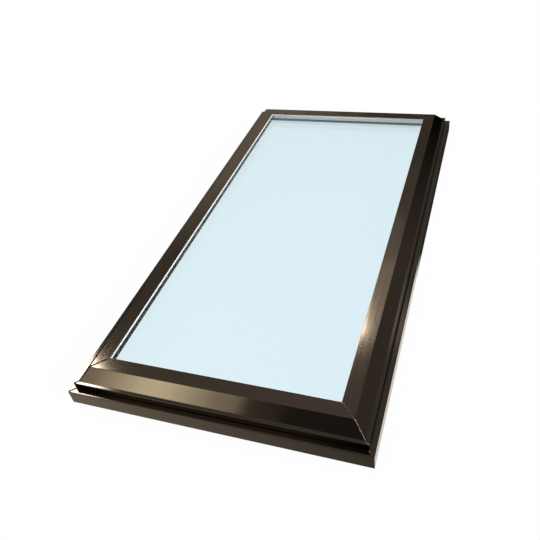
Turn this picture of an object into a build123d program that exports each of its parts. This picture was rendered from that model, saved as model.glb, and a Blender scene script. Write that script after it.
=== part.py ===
from build123d import *
import os
from math import atan2, tan

# Fixed curb mount skylight. Four mitred base rails, keyed together at the corners, drop over a
# timber curb and carry a sealed double-glazed unit. Four mitred caps clip onto the rails and hold
# the glass down. Millimetres, +Z up, front at -Y, origin on the floor under the middle of the frame.

# Outside of the curb, and the play left around it
CURB_WIDTH = 647.7
CURB_LENGTH = 1257.3
CURB_CLEARANCE = 3.2

# Walls shared by both extrusions, and the face of the frame from the skirt in to the sight line
WALL = 2.0
LEDGE_WIDTH = 13.0
LIP_WIDTH = 7.0
BEVEL_RUN = 24.0
BAND_WIDTH = 31.6

# Base rail
SKIRT_HEIGHT = 35.0
GROOVE_DEPTH = 9.0
CHAMBER_WIDTH = 15.0
CHAMBER_HEIGHT = 8.8
GUTTER_SETBACK = 7.5
GUTTER_CLEARANCE = 0.6

# Cap
LIP_HEADROOM = 3.7
LIP_DROP = 14.8
NOSE_CLEARANCE = 1.8
HOOK_BITE = 1.6
HOOK_CLEARANCE = 0.3
RIB_SETBACK = 0.5
RIB_DROP = 7.0
RIB_CLEARANCE = 0.3

# Double-glazed unit and how it is bedded
PANE = 4.0
AIR_GAP = 14.0
EDGE_CLEARANCE = 3.0
SEAMED_EDGE = 0.5
EDGE_SEAL_WIDTH = 4.5
SPACER_WIDTH = 6.5
SPACER_WALL = 0.5
GASKET_HEIGHT = 6.2
GASKET_WIDTH = 10.0
GASKET_SETBACK = 0.4
GASKET_NOSE_RADIUS = 0.8
TAPE_WIDTH = 7.0
TAPE_HEIGHT = 2.0

# Foam strip between the seat and the curb
CURB_GASKET_HEIGHT = 3.5
CURB_GASKET_MARGIN = 5.0

# Corner joints
CAP_MITRE_GAP = 2.0
RAIL_MITRE_GAP = 0.3
MITRE_SEAL_RECESS = 0.6
KEY_LEG = 70.0
KEY_CLEARANCE = 0.3

# Extrusion edge radii
SKIRT_EDGE_RADIUS = 1.2
BEVEL_EDGE_RADIUS = 1.2
LIP_EDGE_RADIUS = 0.9
SIGHT_EDGE_RADIUS = 0.6

# Overall plan
frame_width = CURB_WIDTH + 2 * (CURB_CLEARANCE + WALL)
frame_length = CURB_LENGTH + 2 * (CURB_CLEARANCE + WALL)

# Section heights, measured up from the skirt's bottom edge
seat_bottom = SKIRT_HEIGHT - WALL
curb_top = seat_bottom - CURB_GASKET_HEIGHT
shelf_bottom = SKIRT_HEIGHT + CHAMBER_HEIGHT
shelf_top = shelf_bottom + WALL
glass_bottom = shelf_top + TAPE_HEIGHT
air_bottom = glass_bottom + PANE
air_top = air_bottom + AIR_GAP
glass_top = air_top + PANE
cap_underside = glass_top + GASKET_HEIGHT
frame_top = cap_underside + WALL
lip_top = shelf_top + LIP_HEADROOM + WALL
lip_bottom = lip_top - LIP_DROP
hook_top = shelf_bottom - HOOK_CLEARANCE
gutter_top = glass_bottom - GUTTER_CLEARANCE
rib_bottom = cap_underside - RIB_DROP

# Section positions, measured inward from the skirt's outer face
lip_face = LEDGE_WIDTH
bevel_foot = lip_face + LIP_WIDTH
bevel_head = bevel_foot + BEVEL_RUN
bevel_slant = WALL * tan(atan2(frame_top - lip_top, BEVEL_RUN) / 2)
sight_line = bevel_head + BAND_WIDTH
groove_back = lip_face + GROOVE_DEPTH
chamber_outer = groove_back + WALL
chamber_inner = chamber_outer + CHAMBER_WIDTH
seat_inner = chamber_inner + WALL
nose_tip = lip_face + WALL + NOSE_CLEARANCE
hook_tip = nose_tip + HOOK_BITE
rib_outer = bevel_head + bevel_slant + RIB_SETBACK
rib_inner = rib_outer + WALL
stop_outer = rib_inner + RIB_CLEARANCE
stop_inner = stop_outer + WALL
glass_edge = stop_inner + EDGE_CLEARANCE
spacer_outer = glass_edge + EDGE_SEAL_WIDTH
spacer_inner = spacer_outer + SPACER_WIDTH
gutter_inner = sight_line - GUTTER_SETBACK
gutter_outer = gutter_inner - WALL
gasket_inner = sight_line - GASKET_SETBACK
gasket_outer = gasket_inner - GASKET_WIDTH

UP = Vector(0, 0, 1)
# Each side's outward direction, the distance out to its skirt face and half its length
SIDES = {
    "front": (Vector(0, -1, 0), frame_length / 2, frame_width / 2),
    "back": (Vector(0, 1, 0), frame_length / 2, frame_width / 2),
    "left": (Vector(-1, 0, 0), frame_width / 2, frame_length / 2),
    "right": (Vector(1, 0, 0), frame_width / 2, frame_length / 2),
}
CORNERS = [(end, side) for end in ("front", "back") for side in ("left", "right")]


def at(sketch, inset, height):
    """The corner of a section sketch that lies at this point."""
    return sketch.vertices().sort_by_distance((inset, height))[0]


def base_rail_section():
    """Skirt, curb seat, key chamber, glazing shelf, glass stop and condensation gutter."""
    with BuildSketch() as section:
        with BuildLine():
            Polyline(
                (0, 0),
                (0, SKIRT_HEIGHT),
                (groove_back, SKIRT_HEIGHT),
                (groove_back, shelf_bottom),
                (nose_tip, shelf_bottom),
                (nose_tip, shelf_top),
                (stop_outer, shelf_top),
                (stop_outer, cap_underside),
                (stop_inner, cap_underside),
                (stop_inner, shelf_top),
                (gutter_outer, shelf_top),
                (gutter_outer, gutter_top),
                (gutter_inner, gutter_top),
                (gutter_inner, shelf_bottom),
                (seat_inner, shelf_bottom),
                (seat_inner, seat_bottom),
                (WALL, seat_bottom),
                (WALL, 0),
                close=True,
            )
        make_face()
        with Locations(((chamber_outer + chamber_inner) / 2, (SKIRT_HEIGHT + shelf_bottom) / 2)):
            Rectangle(CHAMBER_WIDTH, CHAMBER_HEIGHT, mode=Mode.SUBTRACT)
        fillet(at(section, 0, SKIRT_HEIGHT), SKIRT_EDGE_RADIUS)
    return section.sketch


def cap_section():
    """Flat band, bevel and lip, with a clip hook under the lip and a locating rib at the stop."""
    with BuildSketch() as section:
        with BuildLine():
            Polyline(
                (sight_line, cap_underside),
                (sight_line, frame_top),
                (bevel_head, frame_top),
                (bevel_foot, lip_top),
                (lip_face, lip_top),
                (lip_face, lip_bottom),
                (lip_face + WALL, lip_bottom),
                (hook_tip, hook_top),
                (lip_face + WALL, hook_top),
                (lip_face + WALL, lip_top - WALL),
                (bevel_foot + bevel_slant, lip_top - WALL),
                (bevel_head + bevel_slant, cap_underside),
                (rib_outer, cap_underside),
                (rib_outer, rib_bottom),
                (rib_inner, rib_bottom),
                (rib_inner, cap_underside),
                close=True,
            )
        make_face()
        fillet(at(section, sight_line, frame_top), SIGHT_EDGE_RADIUS)
        fillet(at(section, bevel_head, frame_top), BEVEL_EDGE_RADIUS)
        fillet(at(section, bevel_foot, lip_top), BEVEL_EDGE_RADIUS)
        fillet(at(section, lip_face, lip_top), LIP_EDGE_RADIUS)
        fillet(at(section, lip_face, lip_bottom), LIP_EDGE_RADIUS)
    return section.sketch


def strip_section(outer, inner, bottom, top):
    """Rectangular section of a strip, from its outer to its inner edge."""
    with BuildSketch() as section:
        with Locations(((outer + inner) / 2, (bottom + top) / 2)):
            Rectangle(inner - outer, top - bottom)
    return section.sketch


def gasket_section():
    """Glazing gasket under the cap, with a rounded nose at the sight line."""
    with BuildSketch() as section:
        add(strip_section(gasket_outer, gasket_inner, glass_top, cap_underside))
        nose = [at(section, gasket_inner, glass_top), at(section, gasket_inner, cap_underside)]
        fillet(nose, GASKET_NOSE_RADIUS)
    return section.sketch


def spacer_section():
    """Thin hollow bar that holds the two panes apart."""
    with BuildSketch() as section:
        add(strip_section(spacer_outer, spacer_inner, air_bottom, air_top))
        offset(amount=-SPACER_WALL, mode=Mode.SUBTRACT)
    return section.sketch


def section_plane(side):
    """Plane across the middle of a side: x runs inward from its skirt face, y runs up."""
    outward, reach, _ = SIDES[side]
    return Plane(origin=outward * reach, x_dir=-outward, z_dir=(-outward).cross(UP))


def mitre_plane(side, along, gap):
    """Plane of the 45 degree cut at one end of a side, set back from the corner by half the gap."""
    outward, reach, half_length = SIDES[side]
    normal = (along - outward).normalized()
    return Plane(origin=outward * reach + along * half_length - normal * gap / 2, z_dir=normal)


def mitred_rail(section, side, gap=0.0):
    """A section run along one side and mitred at both ends."""
    outward, _, half_length = SIDES[side]
    along = outward.cross(UP)
    with BuildPart() as rail:
        with BuildSketch(section_plane(side)):
            add(section)
        extrude(amount=half_length, both=True)
        split(bisect_by=mitre_plane(side, along, gap), keep=Keep.BOTTOM)
        split(bisect_by=mitre_plane(side, -along, gap), keep=Keep.BOTTOM)
    return rail.part


def mitre_seal(end, side):
    """Sealant that fills the gap between two caps, a little below their surface."""
    along, half_length = SIDES[side][0], SIDES[end][2]
    with BuildPart() as seal:
        with BuildSketch(section_plane(end)):
            add(cap_section())
            offset(amount=-MITRE_SEAL_RECESS, mode=Mode.REPLACE)
        extrude(amount=half_length, both=True)
        split(bisect_by=mitre_plane(end, along, CAP_MITRE_GAP), keep=Keep.TOP)
        split(bisect_by=mitre_plane(end, along, 0), keep=Keep.BOTTOM)
        mirror(about=mitre_plane(end, along, 0))
    return seal.part


def corner_key(end, side):
    """L-shaped key that slides into the chambers of two rails and joins them."""
    x_sign, y_sign = SIDES[side][0].X, SIDES[end][0].Y
    near = chamber_outer + KEY_CLEARANCE
    far = chamber_inner - KEY_CLEARANCE
    corner_x, corner_y = frame_width / 2, frame_length / 2
    outline = [(near, near), (near + KEY_LEG, near), (near + KEY_LEG, far)]
    outline += [(far, far), (far, near + KEY_LEG), (near, near + KEY_LEG)]
    with BuildPart() as key:
        with BuildSketch(Plane.XY.offset(SKIRT_HEIGHT + KEY_CLEARANCE)):
            with BuildLine():
                Polyline(
                    [(x_sign * (corner_x - x), y_sign * (corner_y - y)) for x, y in outline],
                    close=True,
                )
            make_face()
        extrude(amount=CHAMBER_HEIGHT - 2 * KEY_CLEARANCE)
    return key.part


def pane(bottom):
    """One sheet of glass with seamed edges."""
    with BuildPart() as sheet:
        with BuildSketch(Plane.XY.offset(bottom)):
            Rectangle(frame_width - 2 * glass_edge, frame_length - 2 * glass_edge)
        extrude(amount=PANE)
        chamfer(sheet.edges(), SEAMED_EDGE)
    return sheet.part


def write(part, name):
    part.label = name
    export_step(part, f"parts/{name}.step")


def main():
    os.makedirs("parts", exist_ok=True)
    strips = {
        "glazing_tape": strip_section(glass_edge, glass_edge + TAPE_WIDTH, shelf_top, glass_bottom),
        "edge_seal": strip_section(glass_edge, spacer_outer, air_bottom, air_top),
        "spacer_bar": spacer_section(),
        "glazing_gasket": gasket_section(),
        "curb_gasket": strip_section(
            WALL + CURB_CLEARANCE + CURB_GASKET_MARGIN,
            seat_inner - CURB_GASKET_MARGIN,
            curb_top,
            seat_bottom,
        ),
    }
    for side in SIDES:
        write(mitred_rail(base_rail_section(), side, RAIL_MITRE_GAP), f"{side}_curb_rail")
        write(mitred_rail(cap_section(), side, CAP_MITRE_GAP), f"{side}_cap")
        for name, section in strips.items():
            write(mitred_rail(section, side), f"{side}_{name}")
    for end, side in CORNERS:
        write(corner_key(end, side), f"{end}_{side}_corner_key")
        write(mitre_seal(end, side), f"{end}_{side}_mitre_seal")
    write(pane(glass_bottom), "inner_pane")
    write(pane(air_top), "outer_pane")


main()
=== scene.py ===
import math
import random

import bmesh
import bpy
from bpy.props import FloatProperty, FloatVectorProperty, IntProperty, PointerProperty
from bpy.types import Operator, Panel, PropertyGroup
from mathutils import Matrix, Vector, noise


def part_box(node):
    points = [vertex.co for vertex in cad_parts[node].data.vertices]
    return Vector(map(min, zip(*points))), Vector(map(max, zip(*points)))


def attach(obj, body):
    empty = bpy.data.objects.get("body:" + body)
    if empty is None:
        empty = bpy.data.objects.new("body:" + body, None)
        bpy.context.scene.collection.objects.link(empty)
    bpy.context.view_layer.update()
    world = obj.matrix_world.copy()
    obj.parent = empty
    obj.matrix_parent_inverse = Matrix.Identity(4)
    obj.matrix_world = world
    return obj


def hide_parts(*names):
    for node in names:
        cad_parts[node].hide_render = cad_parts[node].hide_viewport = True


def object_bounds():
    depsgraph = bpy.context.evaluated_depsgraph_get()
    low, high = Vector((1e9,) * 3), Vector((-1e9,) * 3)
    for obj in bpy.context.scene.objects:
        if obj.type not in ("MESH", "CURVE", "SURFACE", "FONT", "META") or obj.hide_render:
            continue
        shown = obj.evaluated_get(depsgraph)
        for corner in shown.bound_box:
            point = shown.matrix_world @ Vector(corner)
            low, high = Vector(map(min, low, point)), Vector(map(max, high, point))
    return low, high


bl_info = {
    "name": "Curb Mount Skylight",
    "version": (1, 0, 0),
    "blender": (4, 5, 0),
    "location": "View3D > Sidebar > Skylight",
    "description": "Dresses a fixed curb mount skylight: bronze frame, double glazing, seals and studio",
    "category": "Object",
}

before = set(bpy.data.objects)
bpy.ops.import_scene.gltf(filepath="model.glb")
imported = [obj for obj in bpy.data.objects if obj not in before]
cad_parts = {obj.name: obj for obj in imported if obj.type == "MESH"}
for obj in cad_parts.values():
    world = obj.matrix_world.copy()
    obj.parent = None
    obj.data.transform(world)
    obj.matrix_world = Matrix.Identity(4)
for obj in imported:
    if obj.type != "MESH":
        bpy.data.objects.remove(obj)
CAD_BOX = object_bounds()
BODY = "root"

SIDES = ("front", "back", "left", "right")
CORNERS = tuple((end, side) for end in ("front", "back") for side in ("left", "right"))
# Direction of each side from the middle of the frame
TOWARD = {"front": (0, -1), "back": (0, 1), "left": (-1, 0), "right": (1, 0)}

# The corner whose sealant has sunk in the flat and smeared over its edges, and the corner with a ridge
# of metal
GAPING_CORNER = ("front", "left")
RIDGED_CORNER = ("front", "right")
# Crumbs of metal on each mitre: at the sight edge, along the flat, at the bevel's head, on the lip and on
# the rail's ledge
CRUMBS = {
    ("front", "left"): (2, 0, 0, 0, 0),
    ("front", "right"): (5, 9, 3, 6, 3),
    ("back", "left"): (1, 3, 1, 2, 1),
    ("back", "right"): (1, 3, 1, 2, 1),
}

# Frame edges read from the packed pieces: outer skirt faces, cap lip, cap top and sight line
HALF_WIDTH = CAD_BOX[1].x
HALF_LENGTH = CAD_BOX[1].y
CAP_LOW, CAP_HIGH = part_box("front_cap")
LIP_INSET = CAP_LOW.y + HALF_LENGTH
SIGHT_INSET = CAP_HIGH.y + HALF_LENGTH
CAP_TOP = CAP_HIGH.z
LIP_BOTTOM = CAP_LOW.z

# Distance between cross-sections of the beads and of the smeared sealant
BEAD_STEP = 0.0012
SMEAR_STEP = 0.003
# Where the inside of the cap's sight edge ends, below its top
SIGHT_EDGE = 0.0018

# Half the side of the floor
FLOOR_REACH = 30.0
# Insets between which the floor's painted reflection in the metal fades to the darker one of the light well
WELL_FADE = (0.05, 0.08)
# Stretch beside the right rail over which the floor's painted reflection fades, and what it fades to
RIGHT_FADE = (-0.12, -0.01)
RIGHT_DARK = 0.03
# Heights of a sky direction between which the walls turn into the ceiling
CEILING_FADE = (0.55, 0.80)
# The same from the camera's side to the far side, and toward the unlit end
FRONT_FADE = (-0.5, 0.2)
DARK_FADE = (0.899, 0.976)
SENSOR_WIDTH = 36.0

# Lamps: name, target, azimuth from +Y toward +X and elevation in degrees, half width and half height
# in degrees, brightness and tone
LAMP_REACH = 12.0
# Lamps that overlap hang one behind the other, this far apart
LAMP_STEP = 0.05
FRONT_LEFT = (-0.28, -0.58, 0.07)
FRONT_BEVEL = (-0.13, -0.61, 0.065)
RIGHT_BAND = (0.273, -0.366, 0.078)
BACK_LEFT = (-0.2, 0.4, 0.078)
MIDDLE = (0.0, 0.0, 0.07)
COOL = (1.0, 1.0, 1.03)
GREENISH = (1.0, 1.04, 0.9)
WARM = (1.0, 1.0, 0.97)
WHITE = (1.0, 1.0, 1.0)
LAMPS = (
    ("left_softbox", FRONT_LEFT, -55.05, 43.6, 4.4, 2.6, 40.0, COOL),
    ("front_softbox", FRONT_BEVEL, -149.7, 24.0, 1.8, 6.0, 1.4, GREENISH),
    ("front_softbox_rim", FRONT_BEVEL, -149.7, 24.0, 3.5, 6.5, 1.3, GREENISH),
    ("front_softbox_glow", FRONT_BEVEL, -149.9, 24.0, 5.3, 7.0, 1.3, GREENISH),
    ("front_softbox_halo", FRONT_BEVEL, -150.3, 24.0, 8.2, 8.0, 1.7, GREENISH),
    ("front_softbox_edge", FRONT_BEVEL, -151.8, 24.0, 11.0, 8.5, 0.15, GREENISH),
    ("back_softbox", RIGHT_BAND, -16.4, 44.6, 2.1, 2.6, 42.0, WARM),
    ("back_softbox_rim", RIGHT_BAND, -13.5, 43.8, 4.5, 3.9, 0.75, WARM),
    ("back_softbox_halo", RIGHT_BAND, -13.5, 42.0, 4.5, 6.8, 0.45, WARM),
    ("right_screen", RIGHT_BAND, -8.0, 35.5, 5.0, 5.5, 0.16, WARM),
    ("pale_screen", BACK_LEFT, -34.0, 16.3, 14.5, 16.2, 0.22, WHITE),
    ("pale_screen_rim", BACK_LEFT, -32.5, 17.3, 16.5, 17.5, 0.22, WHITE),
    ("pale_screen_halo", BACK_LEFT, -31.0, 18.5, 18.0, 18.6, 0.22, WHITE),
    ("overhead_screen", FRONT_BEVEL, -148.0, 51.0, 12.0, 7.0, 2.2, WHITE),
    ("right_softbox", MIDDLE, 96.0, 30.0, 8.5, 8.5, 31.0, WHITE),
)


def colour(label, note, value):
    return FloatVectorProperty(
        name=label, description=note, default=value, subtype="COLOR", size=3, min=0.0, max=1.0
    )


def length(label, note, value):
    return FloatProperty(name=label, description=note, default=value, unit="LENGTH", precision=5, min=0.0)


def share(label, note, value):
    return FloatProperty(name=label, description=note, default=value, subtype="FACTOR", min=0.0, max=1.0)


def strength(label, note, value):
    return FloatProperty(name=label, description=note, default=value)


class SkylightFrameFinish(PropertyGroup):
    """Anodised finish of the caps and curb rails."""

    bronze: colour("Bronze", "Anodised colour of the extrusions", (0.073, 0.056, 0.040))
    worn_bronze: colour("Worn bronze", "Paler tone of the streaks along each rail", (0.080, 0.061, 0.043))
    cut_metal: colour("Cut metal", "Stained metal on the sawn mitre faces", (0.10, 0.085, 0.07))
    cap_edge: colour("Cap edge tint", "Tone of the caps seen at a low angle", (0.80, 0.75, 0.70))
    rail_edge: colour("Rail edge tint", "Tone of the rails seen at a low angle", (1.0, 0.92, 0.82))
    # Darker bronze on the ledges: partly dust, partly painted shade that dims their reflection
    dust_and_shade: colour("Dusty bronze", "Bronze under a film of dust, on the ledges", (0.048, 0.039, 0.030))
    dust_and_shade_film: share("Dust film", "How much of a ledge the dust dulls", 0.06)
    lining: colour("Skirt lining", "Mill aluminium inside the skirt", (0.90, 0.90, 0.88))
    lining_inset: length("Lining inset", "How far in from the skirt's outer face the lining starts", 0.0012)
    lining_top: length("Lining top", "Height of the seat above the lining", 0.0325)
    lining_dull: share("Lining dullness", "How much rougher the lining is than the bronze", 0.12)
    sheen: share("Roughness", "Roughness of the satin finish", 0.085)
    sheen_spread: share("Roughness spread", "How far streaks move the roughness", 0.007)
    streak_width: length("Streak width", "Width of the broad streaks left by the die", 0.006)
    die_line_width: length("Die line width", "Width of the fine lines left by the die", 0.0006)
    die_line_depth: length("Die line depth", "Depth of the fine lines left by the die", 0.0000002)


class SkylightGlazingFinish(PropertyGroup):
    """Sealed unit: glass, spacer bars and edge seal."""

    tint: colour("Glass tint", "Colour that one pane gives to light passing through", (0.857, 0.940, 0.971))
    tint_shade: colour("Glass shade", "Second tone of the pane's faint unevenness", (0.851, 0.937, 0.969))
    coating: colour("Coating", "Colour of the low-emissivity coating's reflection", (0.10, 0.20, 0.26))
    spacer: colour("Spacer", "Mill aluminium of the spacer bars", (0.78, 0.79, 0.80))
    # Painted shade: the slots are a darker colour on the bar's face, standing for the shade in their
    # hollows
    spacer_slot_shade: colour("Spacer slot", "Dark inside of the spacer's breather slots", (0.36, 0.36, 0.37))
    slot_pitch: length("Slot pitch", "Distance between breather slots along the bar", 0.005)
    slot_length: length("Slot length", "Length of one breather slot", 0.0022)
    slot_height: length("Slot height", "Height of one breather slot", 0.0007)
    slot_row: length("Slot row", "Height of each row of slots off the middle of the bar", 0.0021)
    edge_seal: colour("Edge seal", "Black sealant round the unit's edge", (0.012, 0.012, 0.014))


class SkylightSealFinish(PropertyGroup):
    """Gaskets, tapes, foam and the sealed mitres."""

    gasket: colour("Gasket", "Pale silicone gasket under the caps", (0.86, 0.86, 0.82))
    tape: colour("Tape", "Glazing tape under the inner pane", (0.018, 0.018, 0.020))
    foam: colour("Foam", "Closed-cell strip under the seat", (0.055, 0.055, 0.058))
    sealant: colour("Sealant", "Brown sealant in the mitre joints", (0.020, 0.016, 0.013))
    filler: colour("Filler", "Bronze filler in the sound mitre joints", (0.085, 0.066, 0.047))
    burr: colour("Burr", "Dull metal crumbs along the mitres", (0.19, 0.175, 0.16))
    key_metal: colour("Key metal", "Cast corner keys", (0.5, 0.5, 0.5))
    bead_depth: length("Bead depth", "Thickness of the sealant in a mitre", 0.0016)
    bead_recess: length("Bead recess", "How far sound sealant lies below the cap", 0.00015)
    bead_wander: length("Bead wander", "How far the sealant's surface rises and falls", 0.0002)
    open_recess: length("Open recess", "How far the sealant has sunk where a mitre gapes", 0.0018)
    bridge: length("Bridge", "Sound sealant left at the sight corner of a gaping mitre", 0.007)
    ridge_radius: length("Ridge radius", "Half width of the metal ridge along a bevel's mitre", 0.00065)
    bevel_run: length("Bevel run", "Plan width of the cap's bevel", 0.0240)
    bevel_rise: length("Bevel rise", "Height of the cap's bevel", 0.0265)
    lip_width: length("Lip width", "Plan width of the flat lip outside the bevel", 0.0070)
    ledge_height: length("Ledge height", "Height of the rail's ledge outside the lip", 0.0350)
    smear_half: length("Smear half width", "Half width of the sealant smeared along a joint", 0.0020)
    smear_rise: length("Smear rise", "How far that sealant stands off the metal", 0.00025)
    foam_edge: length("Foam edge", "Radius of the foam strip's long edges", 0.0009)
    foam_wave: length("Foam wave", "How far the foam's faces wander from flat", 0.00025)
    foam_step: length("Foam step", "Distance between cross-sections of the foam mesh", 0.012)
    seed: IntProperty(name="Seed", description="Seed for the mitre crumbs", default=7, min=0)


class SkylightStage(PropertyGroup):
    """Camera, floor and lamps."""

    camera_place: FloatVectorProperty(
        name="Camera place", description="Where the camera stands", subtype="TRANSLATION", unit="LENGTH",
        size=3, default=(0.45456, -1.21514, 1.00467),
    )
    camera_turn: FloatVectorProperty(
        name="Camera turn", description="How the camera is turned", subtype="EULER", unit="ROTATION",
        size=3, default=tuple(math.radians(a) for a in (49.2622, 7.2578, 18.4712)),
    )
    lens: FloatProperty(name="Lens", description="Focal length in millimetres", default=39.873, min=1.0)
    floor: colour("Floor", "Pale studio floor", (0.9, 0.9, 0.9))
    floor_glow: share("Floor glow", "Share of the floor that shows as plain white", 0.97)
    # Painted reflection: the floor shows these levels and this tone only in the metal, brighter or darker
    # by place, while the camera sees it plain white
    mirror_plain: share("Mirrored floor", "Brightness of the floor's image in the metal", 0.9)
    mirror_well: share("Mirrored well", "The same, in the middle of the light well", 0.3)
    mirror_dark: share("Mirrored left", "The same, past the left rail", 0.06)
    mirror_left: share("Mirrored front, left", "The same, before the left corner", 0.90)
    mirror_right: share("Mirrored front, right", "The same, before the right corner", 0.36)
    mirror_near: share("Mirrored right, near", "The same, beside the right rail", 1.0)
    painted_reflection_tone: colour("Mirrored right, tone", "Tone of the floor by the right rail", (1.0, 0.99, 0.92))
    sky_low: strength("Low sky", "Brightness of the studio's walls", 0.33)
    sky_high: strength("High sky", "Brightness of the studio's ceiling", 0.58)
    sky_front: share("Front sky", "Share of that brightness on the camera's side", 0.35)
    dark_wall: FloatVectorProperty(
        name="Dark wall", description="Way to the unlit end of the studio", subtype="DIRECTION", size=3,
        default=(0.2588, 0.9659, 0.0),
    )


def link(tree, source, target):
    tree.links.new(source, target)


def node(tree, kind, **values):
    """A shader node with its settings and unlinked inputs given by name."""
    made = tree.nodes.new(kind)
    for key, value in values.items():
        if key in made.inputs:
            made.inputs[key].default_value = value
        else:
            setattr(made, key, value)
    return made


def new_material(name):
    """An empty material and its Principled shader."""
    material = bpy.data.materials.new(name)
    material.use_nodes = True
    shader = material.node_tree.nodes["Principled BSDF"]
    return material, material.node_tree, shader


def rgba(value):
    return (*value, 1.0)


def maths(tree, operation, first, second=None):
    """A Math node's result, from sockets or plain numbers."""
    made = node(tree, "ShaderNodeMath", operation=operation)
    for index, value in enumerate((first, second)):
        if value is None:
            continue
        if isinstance(value, bpy.types.NodeSocket):
            link(tree, value, made.inputs[index])
        else:
            made.inputs[index].default_value = value
    return made.outputs[0]


def object_place(tree):
    """The point's place in the frame, in metres."""
    return node(tree, "ShaderNodeTexCoord").outputs["Object"]


def grain(tree, place, scale, detail=3.0, stretch=(1.0, 1.0, 1.0)):
    """Noise in the frame's metres, squeezed by the stretch along each axis."""
    mapping = node(tree, "ShaderNodeMapping")
    mapping.inputs["Scale"].default_value = stretch
    link(tree, place, mapping.inputs["Vector"])
    texture = node(tree, "ShaderNodeTexNoise", Scale=scale, Detail=detail)
    link(tree, mapping.outputs["Vector"], texture.inputs["Vector"])
    return texture.outputs["Fac"]


def ramp(tree, source, low, high, to_low=0.0, to_high=1.0):
    """A value moved from one range to another and held inside it."""
    made = node(tree, "ShaderNodeMapRange")
    made.inputs["From Min"].default_value = low
    made.inputs["From Max"].default_value = high
    made.inputs["To Min"].default_value = to_low
    made.inputs["To Max"].default_value = to_high
    link(tree, source, made.inputs["Value"])
    return made.outputs["Result"]


def blend_colours(tree, factor, first, second):
    """Two colours, or colour sockets, mixed by a factor."""
    made = node(tree, "ShaderNodeMix", data_type="RGBA")
    link(tree, factor, made.inputs["Factor"])
    for name, value in (("A", first), ("B", second)):
        socket = next(s for s in made.inputs if s.name == name and s.type == "RGBA")
        if isinstance(value, bpy.types.NodeSocket):
            link(tree, value, socket)
        else:
            socket.default_value = rgba(value)
    return next(s for s in made.outputs if s.type == "RGBA")


def add_bump(tree, shader, height, distance, strength=1.0):
    bump = node(tree, "ShaderNodeBump", Strength=strength, Distance=distance)
    link(tree, height, bump.inputs["Height"])
    link(tree, bump.outputs["Normal"], shader.inputs["Normal"])


def split(tree, vector):
    """The three parts of a vector."""
    parts = node(tree, "ShaderNodeSeparateXYZ")
    link(tree, vector, parts.inputs[0])
    return parts.outputs["X"], parts.outputs["Y"], parts.outputs["Z"]


def face_way(tree):
    """The three parts of the way a face looks."""
    return split(tree, node(tree, "ShaderNodeNewGeometry").outputs["True Normal"])


def sawn_face(tree):
    """One on the diagonal mitre faces, and nought on the faces that run along a rail."""
    x, y, _ = face_way(tree)
    across = maths(tree, "ABSOLUTE", maths(tree, "MULTIPLY", x, y))
    return maths(tree, "GREATER_THAN", across, 0.3)


def ledge(tree, place):
    """One on the flat faces below the cap's top, where dust settles and painted shade darkens the bronze.
    """
    flat = maths(tree, "GREATER_THAN", face_way(tree)[2], 0.9)
    low = maths(tree, "LESS_THAN", split(tree, place)[2], (CAP_TOP + LIP_BOTTOM) / 2)
    return maths(tree, "MULTIPLY", flat, low)


def skirt_inside(tree, place, settings):
    """One on the skirt's inner faces, below the seat."""
    x, y, z = split(tree, place)
    within_x = maths(tree, "LESS_THAN", maths(tree, "ABSOLUTE", x), HALF_WIDTH - settings.lining_inset)
    within_y = maths(tree, "LESS_THAN", maths(tree, "ABSOLUTE", y), HALF_LENGTH - settings.lining_inset)
    below = maths(tree, "LESS_THAN", z, settings.lining_top)
    return maths(tree, "MULTIPLY", maths(tree, "MULTIPLY", within_x, within_y), below)


def bronze_material(settings, name, along, edge):
    """Satin bronze anodising with die lines that run along the rail."""
    material, tree, shader = new_material(name)
    place = object_place(tree)
    fine = 1.0 / settings.die_line_width
    broad = 1.0 / settings.streak_width
    slow = 0.02
    stretch = tuple(slow if axis == along else 1.0 for axis in "XYZ")
    streaks = grain(tree, place, broad, 2.0, stretch)
    die_lines = grain(tree, place, fine, 1.0, tuple(s * slow if s == slow else s for s in stretch))
    cloud = grain(tree, place, 14.0, 4.0)
    tone = maths(tree, "ADD", maths(tree, "MULTIPLY", streaks, 0.6), maths(tree, "MULTIPLY", cloud, 0.4))
    tone = ramp(tree, tone, 0.35, 0.7)
    bronze = blend_colours(tree, tone, settings.bronze, settings.worn_bronze)
    cut = sawn_face(tree)
    # Ledges take a darker bronze and a duller film: partly dust, partly painted shade
    dust_and_shade_mask = ledge(tree, place)
    lined = skirt_inside(tree, place, settings)
    base = blend_colours(tree, cut, bronze, settings.cut_metal)
    base = blend_colours(tree, dust_and_shade_mask, base, settings.dust_and_shade)
    link(tree, blend_colours(tree, lined, base, settings.lining), shader.inputs["Base Color"])
    smooth = settings.sheen - settings.sheen_spread
    rough = ramp(tree, streaks, 0.3, 0.7, smooth, settings.sheen + settings.sheen_spread)
    dull = maths(tree, "MULTIPLY", lined, settings.lining_dull)
    link(tree, maths(tree, "ADD", rough, dull), shader.inputs["Roughness"])
    add_bump(tree, shader, die_lines, settings.die_line_depth)
    film = maths(tree, "MULTIPLY", dust_and_shade_mask, settings.dust_and_shade_film)
    link(tree, maths(tree, "SUBTRACT", 1.0, film), shader.inputs["Metallic"])
    shader.inputs["Specular Tint"].default_value = rgba(edge)
    return material


def glass_material(settings):
    """Clear float glass with a pale blue cast and a faint coating."""
    material, tree, shader = new_material("float_glass")
    haze = ramp(tree, grain(tree, object_place(tree), 3.0, 2.0), 0.35, 0.65)
    link(tree, blend_colours(tree, haze, settings.tint, settings.tint_shade), shader.inputs["Base Color"])
    shader.inputs["Roughness"].default_value = 0.0
    shader.inputs["IOR"].default_value = 1.5
    shader.inputs["Transmission Weight"].default_value = 1.0
    shader.inputs["Specular Tint"].default_value = rgba(settings.coating)
    return material


def near(tree, value, centre, half):
    """One where a value lies within half of a centre."""
    away = maths(tree, "ABSOLUTE", maths(tree, "SUBTRACT", value, centre))
    return maths(tree, "LESS_THAN", away, half)


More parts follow.
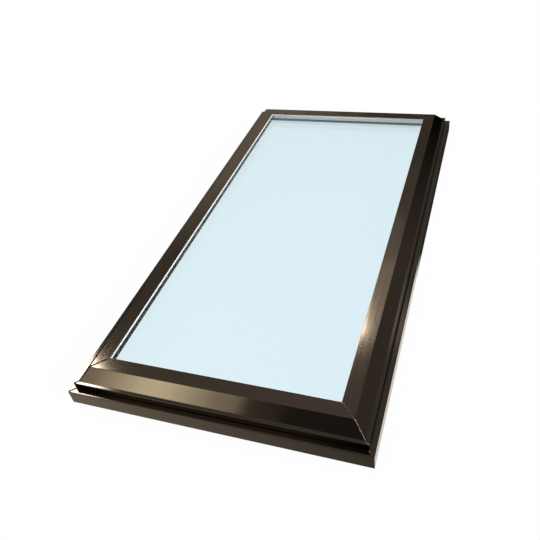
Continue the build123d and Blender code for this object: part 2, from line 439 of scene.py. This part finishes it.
def spacer_material(settings, name, along, middle):
    """Mill aluminium with two rows of breather slots along the bar, each painted darker as the shade in its
    hollow.
    """
    material, tree, shader = new_material(name)
    place = object_place(tree)
    x, y, z = split(tree, place)
    run = x if along == "X" else y
    step = maths(tree, "FRACT", maths(tree, "DIVIDE", run, settings.slot_pitch))
    in_step = near(tree, step, 0.5, settings.slot_length / settings.slot_pitch / 2)
    off_middle = maths(tree, "ABSOLUTE", maths(tree, "SUBTRACT", z, middle))
    in_row = near(tree, off_middle, settings.slot_row, settings.slot_height / 2)
    slot = maths(tree, "MULTIPLY", in_step, in_row)
    stretch = tuple(0.03 if axis == along else 1.0 for axis in "XYZ")
    lines = grain(tree, place, 1500.0, 1.0, stretch)
    shade = blend_colours(tree, lines, tuple(0.9 * c for c in settings.spacer), settings.spacer)
    # The slots take the darker colour: painted shade in their hollows
    link(tree, blend_colours(tree, slot, shade, settings.spacer_slot_shade), shader.inputs["Base Color"])
    link(tree, ramp(tree, lines, 0.3, 0.7, 0.34, 0.46), shader.inputs["Roughness"])
    shader.inputs["Metallic"].default_value = 1.0
    return material


def rubber_material(name, base, scale, depth, rough, spread=0.25):
    """Matte rubber, tape or sealant with a fine uneven skin."""
    material, tree, shader = new_material(name)
    place = object_place(tree)
    skin = grain(tree, place, scale, 4.0)
    patches = ramp(tree, grain(tree, place, scale / 12, 2.0), 0.35, 0.65)
    paler = tuple(min(1.0, c * (1 + spread)) for c in base)
    link(tree, blend_colours(tree, patches, base, paler), shader.inputs["Base Color"])
    link(tree, ramp(tree, skin, 0.3, 0.7, rough - 0.08, rough + 0.08), shader.inputs["Roughness"])
    add_bump(tree, shader, skin, depth)
    return material


def foam_material(settings):
    """Closed-cell foam with fine round cells, darker toward each cell's middle as painted shade in its pit.
    """
    material, tree, shader = new_material("closed_cell_foam")
    place = object_place(tree)
    cells = node(tree, "ShaderNodeTexVoronoi", Scale=900.0)
    link(tree, place, cells.inputs["Vector"])
    bubble = ramp(tree, cells.outputs["Distance"], 0.1, 0.6)
    # Painted shade: the colour darkens toward the middle of each cell's pit
    pit_shade = tuple(0.6 * c for c in settings.foam)
    link(tree, blend_colours(tree, bubble, pit_shade, settings.foam), shader.inputs["Base Color"])
    link(tree, ramp(tree, bubble, 0.0, 1.0, 0.95, 0.75), shader.inputs["Roughness"])
    add_bump(tree, shader, bubble, 0.0003, 0.6)
    return material


def bare_metal_material(name, base, rough, metallic=1.0):
    """Bare aluminium with a dull, uneven face."""
    material, tree, shader = new_material(name)
    speckle = grain(tree, object_place(tree), 700.0, 3.0)
    darker = tuple(0.7 * c for c in base)
    link(tree, blend_colours(tree, speckle, darker, base), shader.inputs["Base Color"])
    link(tree, ramp(tree, speckle, 0.3, 0.7, rough - 0.08, rough + 0.08), shader.inputs["Roughness"])
    add_bump(tree, shader, speckle, 0.0001)
    shader.inputs["Metallic"].default_value = metallic
    return material


def dress(node_name, material):
    """Gives a packed piece its finish."""
    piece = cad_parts.get(node_name)
    if piece is None:
        raise RuntimeError(f"the frame has no piece named {node_name}")
    piece.data.materials.clear()
    piece.data.materials.append(material)
    return piece


def add_piece(name, vertices, faces, material):
    """A new mesh that rides with the frame."""
    if not vertices:
        raise RuntimeError(f"{name} has no mesh")
    mesh = bpy.data.meshes.new(name)
    mesh.from_pydata(vertices, [], faces)
    mesh.validate()
    shell = bmesh.new()
    shell.from_mesh(mesh)
    bmesh.ops.recalc_face_normals(shell, faces=shell.faces)
    shell.to_mesh(mesh)
    shell.free()
    mesh.materials.append(material)
    mesh.shade_smooth()
    piece = bpy.data.objects.new(name, mesh)
    bpy.context.scene.collection.objects.link(piece)
    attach(piece, BODY)
    return piece


def tube(vertices, faces, rings):
    """Joins rings of points into a closed skin with capped ends."""
    first = len(vertices)
    count = len(rings[0])
    for ring in rings:
        vertices.extend(ring)
    for row in range(len(rings) - 1):
        for column in range(count):
            a = first + row * count + column
            b = first + row * count + (column + 1) % count
            faces.append((a, b, b + count, a + count))
    faces.append(tuple(reversed(range(first, first + count))))
    last = first + (len(rings) - 1) * count
    faces.append(tuple(range(last, last + count)))


def cap_outline(settings):
    """Corners of the cap's outer face in (inset, height), from the sight edge out to the lip's foot."""
    bevel_foot = LIP_INSET + settings.lip_width
    bevel_head = bevel_foot + settings.bevel_run
    lip_top = CAP_TOP - settings.bevel_rise
    return [
        Vector((SIGHT_INSET, CAP_TOP - SIGHT_EDGE)),
        Vector((SIGHT_INSET, CAP_TOP)),
        Vector((bevel_head, CAP_TOP)),
        Vector((bevel_foot, lip_top)),
        Vector((LIP_INSET, lip_top)),
        Vector((LIP_INSET, LIP_BOTTOM)),
    ]


def outline_steps(outline, step):
    """Evenly spaced points of an outline, each with its outward normal."""
    points = []
    for start, end in zip(outline, outline[1:]):
        run = end - start
        normal = Vector((run.y, -run.x)).normalized()
        count = max(2, round(run.length / step))
        for index in range(count):
            points.append((start.lerp(end, index / count), normal))
    points.append((outline[-1], normal))
    return points


def in_corner(end, side, inset, height, across=0.0):
    """A point on a corner's mitre plane, moved across it by a distance."""
    sx = TOWARD[side][0]
    sy = TOWARD[end][1]
    shift = across / math.sqrt(2)
    return Vector((sx * (HALF_WIDTH - inset + shift), sy * (HALF_LENGTH - inset - shift), height))


class SKYLIGHT_OT_frame_metal(Operator):
    """Finishes the caps and the curb rails in satin bronze"""

    bl_idname = "skylight.frame_metal"
    bl_label = "Frame Metal"

    def execute(self, context):
        settings = context.scene.skylight_frame
        runs = {"X": ("front", "back"), "Y": ("left", "right")}
        edges = {"cap": settings.cap_edge, "curb_rail": settings.rail_edge}
        for along, sides in runs.items():
            for part, edge in edges.items():
                name = f"satin_bronze_{part}_{sides[0]}_{sides[1]}"
                material = bronze_material(settings, name, along, edge)
                for side in sides:
                    dress(f"{side}_{part}", material)
        return {"FINISHED"}


class SKYLIGHT_OT_glazing_unit(Operator):
    """Finishes the two panes, the spacer bars and the edge seal"""

    bl_idname = "skylight.glazing_unit"
    bl_label = "Glazing Unit"

    def execute(self, context):
        settings = context.scene.skylight_glazing
        glass = glass_material(settings)
        for name in ("outer_pane", "inner_pane"):
            pane = dress(name, glass)
            pane.visible_shadow = False
            pane.visible_diffuse = False
        low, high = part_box("front_spacer_bar")
        middle = (low.z + high.z) / 2
        seal = rubber_material("edge_sealant", settings.edge_seal, 400.0, 0.0002, 0.6)
        for along, sides in {"X": ("front", "back"), "Y": ("left", "right")}.items():
            bar = spacer_material(settings, f"spacer_aluminium_{sides[0]}_{sides[1]}", along, middle)
            for side in sides:
                dress(f"{side}_spacer_bar", bar)
                dress(f"{side}_edge_seal", seal)
        return {"FINISHED"}


class SKYLIGHT_OT_gaskets(Operator):
    """Finishes the glazing gaskets under the caps and the tapes under the glass"""

    bl_idname = "skylight.gaskets"
    bl_label = "Gaskets and Tapes"

    def execute(self, context):
        settings = context.scene.skylight_seals
        silicone = rubber_material("gasket_silicone", settings.gasket, 900.0, 0.00005, 0.5, 0.06)
        tape = rubber_material("glazing_tape", settings.tape, 700.0, 0.0002, 0.75)
        for side in SIDES:
            dress(f"{side}_glazing_gasket", silicone)
            dress(f"{side}_glazing_tape", tape)
        return {"FINISHED"}


class SKYLIGHT_OT_curb_foam(Operator):
    """Makes the foam strips that seal the frame to its curb"""

    bl_idname = "skylight.curb_foam"
    bl_label = "Curb Foam"

    def execute(self, context):
        settings = context.scene.skylight_seals
        material = foam_material(settings)
        for side in SIDES:
            self.make_strip(settings, side, material)
        return {"FINISHED"}

    def make_strip(self, settings, side, material):
        dx, dy = TOWARD[side]
        outward = Vector((dx, dy, 0.0))
        along = outward.cross(Vector((0.0, 0.0, 1.0)))
        low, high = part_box(f"{side}_curb_gasket")
        spans = [sorted((abs(low[axis]), abs(high[axis]))) for axis in (0, 1)]
        near_edge, far_edge = spans[0] if dx else spans[1]
        half_far = (high - low).y / 2 if dx else (high - low).x / 2
        section = self.rounded_section(near_edge, far_edge, low.z, high.z, settings.foam_edge)
        count = round(2 * half_far / settings.foam_step)
        rings = []
        for index in range(count + 1):
            t = 2 * index / count - 1
            ring = []
            for reach, height, out, up in section:
                point = outward * reach + along * t * (half_far - (far_edge - reach))
                point.z = height
                wander = -abs(noise.noise(point * 40.0)) * settings.foam_wave
                ring.append(point + outward * out * wander + Vector((0, 0, up * wander)))
            rings.append(ring)
        vertices, faces = [], []
        tube(vertices, faces, rings)
        strip = add_piece(f"{side}_curb_foam", vertices, faces, material)
        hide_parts(f"{side}_curb_gasket")

    def rounded_section(self, near_edge, far_edge, bottom, top, radius):
        """Points round the strip's section, each with the way its face looks."""
        points = []
        corners = (
            (far_edge - radius, top - radius, 0),
            (near_edge + radius, top - radius, 90),
            (near_edge + radius, bottom + radius, 180),
            (far_edge - radius, bottom + radius, 270),
        )
        for reach, height, start in corners:
            for turn in (0, 30, 60, 90):
                angle = math.radians(start + turn)
                out, up = math.cos(angle), math.sin(angle)
                points.append((reach + radius * out, height + radius * up, out, up))
        return points


class SKYLIGHT_OT_mitre_joints(Operator):
    """Lays the sealant beads and the crumbs of bare metal along the four mitres"""

    bl_idname = "skylight.mitre_joints"
    bl_label = "Mitre Joints"

    def execute(self, context):
        settings = context.scene.skylight_seals
        sealant = rubber_material("mitre_sealant", settings.sealant, 500.0, 0.0002, 0.7)
        filler = bare_metal_material("bronze_filler", settings.filler, 0.22)
        burr = bare_metal_material("mitre_burr", settings.burr, 0.5, 0.3)
        gap = self.cap_gap()
        chance = random.Random(settings.seed)
        for end, side in CORNERS:
            bead = sealant if (end, side) == GAPING_CORNER else filler
            self.lay_bead(settings, end, side, gap, bead)
            self.strew_burr(settings, end, side, gap, burr, chance)
        self.smear(settings, *GAPING_CORNER, sealant)
        return {"FINISHED"}

    def cap_gap(self):
        """Width of the gap between two caps, across the mitre."""
        short = HALF_WIDTH - LIP_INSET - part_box("front_cap")[1].x
        return 2 * short / math.sqrt(2)

    def recess(self, settings, end, side, point):
        """How far the sealant lies below the cap at a point of the outline."""
        bevel_head = LIP_INSET + settings.lip_width + settings.bevel_run
        gaping = (end, side) == GAPING_CORNER
        on_lip_face = point.y < CAP_TOP - settings.bevel_rise - settings.bead_recess
        if on_lip_face or gaping and bevel_head < point.x < SIGHT_INSET - settings.bridge:
            return settings.open_recess
        return settings.bead_recess

    def lay_bead(self, settings, end, side, gap, material):
        points = outline_steps(cap_outline(settings), BEAD_STEP)
        name = f"{end}_{side}_mitre_bead"
        half = gap / 2
        rings = []
        for index, (point, normal) in enumerate(points):
            wander = noise.noise(Vector((index * 0.35, len(name), CORNERS.index((end, side)) * 9.0)))
            sunk = self.recess(settings, end, side, point) + abs(wander) * settings.bead_wander
            profile = ((-half, sunk), (-half / 2, sunk * 1.3), (half / 2, sunk * 1.3), (half, sunk),
                       (half, sunk + settings.bead_depth), (-half, sunk + settings.bead_depth))
            ring = []
            for across, depth in profile:
                spot = point - normal * depth
                ring.append(in_corner(end, side, spot.x, spot.y, across))
            rings.append(ring)
        vertices, faces = [], []
        tube(vertices, faces, rings)
        bead = add_piece(name, vertices, faces, material)
        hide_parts(f"{end}_{side}_mitre_seal")

    def rail_outline(self, settings):
        """Ends of the rail's ledge in (inset, height), from the cap's lip out to the skirt."""
        return Vector((LIP_INSET, settings.ledge_height)), Vector((0.0006, settings.ledge_height))

    def smear(self, settings, end, side, material):
        """Thin sealant spread along the joint's outer edges, on the cap and on the rail's ledge."""
        half, rise = settings.smear_half, settings.smear_rise
        section = ((-half, -rise), (0.0, -rise), (half, -rise), (half, rise), (0.0, rise), (-half, rise))
        vertices, faces = [], []
        flat_start = Vector((SIGHT_INSET - settings.bridge, CAP_TOP))
        for outline in ([flat_start] + cap_outline(settings)[2:], self.rail_outline(settings)):
            rings = []
            for point, normal in outline_steps(outline, SMEAR_STEP):
                ring = []
                for across, depth in section:
                    spot = point - normal * depth
                    # Away from the joint both rails' faces fall back, and the sealant follows them
                    inset = spot.x + abs(across) / math.sqrt(2)
                    ring.append(in_corner(end, side, inset, spot.y, across))
                rings.append(ring)
            tube(vertices, faces, rings)
        add_piece(f"{end}_{side}_joint_smear", vertices, faces, material)

    def strew_burr(self, settings, end, side, gap, material, chance):
        """Crumbs along the mitre, thickest at its corners, and a ridge down one bevel."""
        _, sight, head, foot, lip, _ = cap_outline(settings)
        inner, outer = self.rail_outline(settings)
        # Stretches of the joint, with the smallest and largest crumbs on each
        stretches = (
            (sight, sight.lerp(head, 0.10), 0.0020, 0.0040),
            (sight.lerp(head, 0.20), head, 0.0010, 0.0024),
            (head.lerp(sight, 0.06), head.lerp(foot, 0.06), 0.0020, 0.0034),
            (foot, lip, 0.0020, 0.0036),
            (inner.lerp(outer, 0.05), inner.lerp(outer, 0.35), 0.0016, 0.0028),
        )
        vertices, faces = [], []
        for count, (start, finish, smallest, largest) in zip(CRUMBS[(end, side)], stretches):
            along = (finish - start).normalized()
            for _ in range(count):
                place = start.lerp(finish, chance.random())
                size = chance.uniform(smallest, largest)
                across = chance.uniform(-gap, gap)
                tube(vertices, faces, self.crumb(end, side, place, along, across, size, chance))
        if (end, side) == RIDGED_CORNER:
            tube(vertices, faces, self.ridge(settings, end, side, head, foot))
        add_piece(f"{end}_{side}_mitre_burr", vertices, faces, material)

    def crumb(self, end, side, place, along, across, size, chance):
        """Rings of one lumpy crumb that sits on the joint."""
        normal = Vector((along.y, -along.x))
        tall = 0.32 * size
        rings = []
        for level, spread in ((-1.0, 0.8), (0.1, 1.0), (0.7, 0.75), (1.0, 0.3)):
            ring = []
            for turn in range(7):
                angle = math.tau * turn / 7
                reach = spread * size / 2 * chance.uniform(0.7, 1.2)
                spot = place + along * math.cos(angle) * reach + normal * level * tall
                ring.append(in_corner(end, side, spot.x, spot.y, across + 0.7 * math.sin(angle) * reach))
            rings.append(ring)
        return rings

    def ridge(self, settings, end, side, head, foot):
        """Rings of the thin uneven ridge of metal along a bevel's mitre."""
        run = foot - head
        along = run.normalized()
        normal = Vector((along.y, -along.x))
        steps = 40
        rings = []
        for index in range(steps + 1):
            part = 0.06 + 0.92 * index / steps
            middle = head + run * part
            seed = Vector((index * 0.3, 4.0, CORNERS.index((end, side)) * 5.0))
            thick = settings.ridge_radius * (0.75 + 0.8 * noise.noise(seed))
            sway = settings.ridge_radius * noise.noise(seed + Vector((0.0, 7.0, 0.0)))
            ring = []
            for turn in range(6):
                angle = math.tau * turn / 6
                spot = middle + normal * 0.6 * math.sin(angle) * thick
                ring.append(in_corner(end, side, spot.x, spot.y, sway + math.cos(angle) * thick))
            rings.append(ring)
        return rings


class SKYLIGHT_OT_corner_keys(Operator):
    """Finishes the keys inside the curb rails"""

    bl_idname = "skylight.corner_keys"
    bl_label = "Corner Keys"

    def execute(self, context):
        material = bare_metal_material("key_casting", context.scene.skylight_seals.key_metal, 0.5)
        for end, side in CORNERS:
            dress(f"{end}_{side}_corner_key", material)
        return {"FINISHED"}


class SKYLIGHT_OT_stage(Operator):
    """Sets up the floor, the soft lamps and the camera"""

    bl_idname = "skylight.stage"
    bl_label = "Stage"

    def execute(self, context):
        settings = context.scene.skylight_stage
        self.make_floor(settings)
        self.make_sky(context.scene, settings)
        self.make_lamps()
        self.make_camera(context.scene, settings)
        context.scene.view_settings.view_transform = "Standard"
        return {"FINISHED"}

    def painted_floor_reflection(self, tree, settings):
        """Painted reflection: brightness of the floor's image in the metal by place, and how far it takes
        the painted tone beside the right rail.
        """
        x, y, _ = split(tree, object_place(tree))
        front = ramp(tree, x, -HALF_WIDTH, HALF_WIDTH, settings.mirror_left, settings.mirror_right)
        right = ramp(tree, y, *RIGHT_FADE, settings.mirror_near, RIGHT_DARK)
        before = maths(tree, "LESS_THAN", y, -HALF_LENGTH)
        past_right = maths(tree, "GREATER_THAN", x, HALF_WIDTH)
        beside = maths(tree, "MULTIPLY", past_right, maths(tree, "SUBTRACT", 1.0, before))
        past_left = maths(tree, "LESS_THAN", x, -HALF_WIDTH)
        inset_x = maths(tree, "SUBTRACT", HALF_WIDTH, maths(tree, "ABSOLUTE", x))
        inset_y = maths(tree, "SUBTRACT", HALF_LENGTH, maths(tree, "ABSOLUTE", y))
        inset = maths(tree, "MINIMUM", inset_x, inset_y)
        level = ramp(tree, inset, *WELL_FADE, settings.mirror_plain, settings.mirror_well)
        level = self.choose(tree, past_left, level, settings.mirror_dark)
        level = self.choose(tree, before, level, front)
        return self.choose(tree, beside, level, right), beside

    def choose(self, tree, factor, first, second):
        """The first value where the factor is nought, and the second where it is one."""
        rest = maths(tree, "MULTIPLY", maths(tree, "SUBTRACT", 1.0, factor), first)
        return maths(tree, "ADD", rest, maths(tree, "MULTIPLY", factor, second))

    def make_floor(self, settings):
        """Pale floor that shows as white, keeps the shadow, shows the metal a painted reflection and can be
        looked through from below.
        """
        mesh = bpy.data.meshes.new("studio_floor")
        turns = ((-1, -1), (1, -1), (1, 1), (-1, 1))
        corners = [(FLOOR_REACH * x, FLOOR_REACH * y, 0) for x, y in turns]
        mesh.from_pydata(corners, [], [(0, 1, 2, 3)])
        floor = bpy.data.objects.new("studio_floor", mesh)
        bpy.context.scene.collection.objects.link(floor)
        material, tree, shader = new_material("pale_floor")
        mottle = ramp(tree, grain(tree, object_place(tree), 2.0), 0.3, 0.7)
        paler = tuple(min(1.0, 1.02 * c) for c in settings.floor)
        link(tree, blend_colours(tree, mottle, settings.floor, paler), shader.inputs["Base Color"])
        shader.inputs["Roughness"].default_value = 1.0
        shader.inputs["Specular IOR Level"].default_value = 0.0
        path = node(tree, "ShaderNodeLightPath")
        through = maths(tree, "SUBTRACT", 1.0, path.outputs["Is Transmission Ray"])
        glossy = maths(tree, "MULTIPLY", path.outputs["Is Glossy Ray"], through)
        direct = maths(tree, "MAXIMUM", path.outputs["Is Camera Ray"], path.outputs["Is Transmission Ray"])
        # Glossy rays see a painted reflection: a glowing level and a cream tone that change by place
        level, beside = self.painted_floor_reflection(tree, settings)
        painted_tone_share = maths(tree, "MULTIPLY", glossy, beside)
        white = node(tree, "ShaderNodeEmission")
        link(tree, self.choose(tree, glossy, 1.0, level), white.inputs["Strength"])
        tone = blend_colours(tree, painted_tone_share, WHITE, settings.painted_reflection_tone)
        link(tree, tone, white.inputs["Color"])
        glow = maths(tree, "MAXIMUM", glossy, maths(tree, "MULTIPLY", direct, settings.floor_glow))
        mixed = node(tree, "ShaderNodeMixShader")
        link(tree, glow, mixed.inputs[0])
        link(tree, shader.outputs[0], mixed.inputs[1])
        link(tree, white.outputs[0], mixed.inputs[2])
        under = node(tree, "ShaderNodeNewGeometry").outputs["Backfacing"]
        clear = node(tree, "ShaderNodeBsdfTransparent")
        both = node(tree, "ShaderNodeMixShader")
        link(tree, under, both.inputs[0])
        link(tree, mixed.outputs[0], both.inputs[1])
        link(tree, clear.outputs[0], both.inputs[2])
        output = tree.nodes["Material Output"]
        link(tree, both.outputs[0], output.inputs["Surface"])
        mesh.materials.append(material)

    def make_sky(self, scene, settings):
        """Dim studio round the frame, which shows as plain white where it is the background."""
        world = bpy.data.worlds.new("studio_sky")
        world.use_nodes = True
        scene.world = world
        tree = world.node_tree
        way = node(tree, "ShaderNodeTexCoord").outputs["Generated"]
        _, y, z = split(tree, way)
        studio = ramp(tree, z, *CEILING_FADE, settings.sky_low, settings.sky_high)
        studio = maths(tree, "MULTIPLY", studio, ramp(tree, y, *FRONT_FADE, settings.sky_front, 1.0))
        toward_dark = node(tree, "ShaderNodeVectorMath", operation="DOT_PRODUCT")
        link(tree, way, toward_dark.inputs[0])
        toward_dark.inputs[1].default_value = settings.dark_wall
        unlit = ramp(tree, toward_dark.outputs["Value"], *DARK_FADE, 1.0, 0.0)
        studio = maths(tree, "MULTIPLY", studio, unlit)
        path = node(tree, "ShaderNodeLightPath")
        direct = maths(tree, "MAXIMUM", path.outputs["Is Camera Ray"], path.outputs["Is Transmission Ray"])
        level = maths(tree, "MAXIMUM", studio, direct)
        sky = tree.nodes["Background"]
        sky.inputs["Color"].default_value = rgba(WHITE)
        link(tree, level, sky.inputs["Strength"])

    def make_lamps(self):
        """Soft lamps that shine on all but the glass."""
        panes = bpy.data.collections.new("lamps_miss_the_glass")
        for name in ("outer_pane", "inner_pane"):
            panes.objects.link(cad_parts[name])
        for child in panes.collection_objects:
            child.light_linking.link_state = "EXCLUDE"
        for index, (name, target, azimuth, elevation, wide, high, glow, tone) in enumerate(LAMPS):
            reach = LAMP_REACH + index * LAMP_STEP
            data = bpy.data.lights.new(name, "AREA")
            data.shape = "RECTANGLE"
            data.size = 2 * reach * math.tan(math.radians(wide))
            data.size_y = 2 * reach * math.tan(math.radians(high))
            data.energy = glow * math.pi * data.size * data.size_y
            data.color = tone
            turn, lift = math.radians(azimuth), math.radians(elevation)
            flat = math.cos(lift)
            toward = Vector((math.sin(turn) * flat, math.cos(turn) * flat, math.sin(lift)))
            lamp = bpy.data.objects.new(name, data)
            lamp.location = Vector(target) + reach * toward
            lamp.rotation_euler = toward.to_track_quat("Z", "Y").to_euler()
            lamp.visible_camera = False
            lamp.visible_transmission = False
            bpy.context.scene.collection.objects.link(lamp)
            lamp.light_linking.receiver_collection = panes

    def make_camera(self, scene, settings):
        data = bpy.data.cameras.new("camera")
        data.lens = settings.lens
        data.sensor_width = SENSOR_WIDTH
        camera = bpy.data.objects.new("camera", data)
        camera.location = settings.camera_place
        camera.rotation_euler = settings.camera_turn
        scene.collection.objects.link(camera)
        scene.camera = camera


OPERATORS = (
    SKYLIGHT_OT_frame_metal,
    SKYLIGHT_OT_glazing_unit,
    SKYLIGHT_OT_gaskets,
    SKYLIGHT_OT_curb_foam,
    SKYLIGHT_OT_mitre_joints,
    SKYLIGHT_OT_corner_keys,
    SKYLIGHT_OT_stage,
)
SETTINGS = {
    "skylight_frame": SkylightFrameFinish,
    "skylight_glazing": SkylightGlazingFinish,
    "skylight_seals": SkylightSealFinish,
    "skylight_stage": SkylightStage,
}


class VIEW3D_PT_skylight(Panel):
    """Lists the skylight's steps and settings"""

    bl_label = "Curb Mount Skylight"
    bl_idname = "VIEW3D_PT_skylight"
    bl_space_type = "VIEW_3D"
    bl_region_type = "UI"
    bl_category = "Skylight"

    def draw(self, context):
        for operator in OPERATORS:
            self.layout.operator(operator.bl_idname)
        for name, group in SETTINGS.items():
            box = self.layout.box()
            box.label(text=group.__doc__)
            for key in group.__annotations__:
                box.prop(getattr(context.scene, name), key)


def register():
    for group in SETTINGS.values():
        bpy.utils.register_class(group)
    for operator in OPERATORS:
        bpy.utils.register_class(operator)
    bpy.utils.register_class(VIEW3D_PT_skylight)
    for name, group in SETTINGS.items():
        setattr(bpy.types.Scene, name, PointerProperty(type=group))


def unregister():
    for name in SETTINGS:
        delattr(bpy.types.Scene, name)
    bpy.utils.unregister_class(VIEW3D_PT_skylight)
    for operator in reversed(OPERATORS):
        bpy.utils.unregister_class(operator)
    for group in reversed(SETTINGS.values()):
        bpy.utils.unregister_class(group)


def main():
    register()
    bpy.ops.skylight.frame_metal()
    bpy.ops.skylight.glazing_unit()
    bpy.ops.skylight.gaskets()
    bpy.ops.skylight.curb_foam()
    bpy.ops.skylight.mitre_joints()
    bpy.ops.skylight.corner_keys()
    bpy.ops.skylight.stage()


if __name__ == "__main__":
    main()
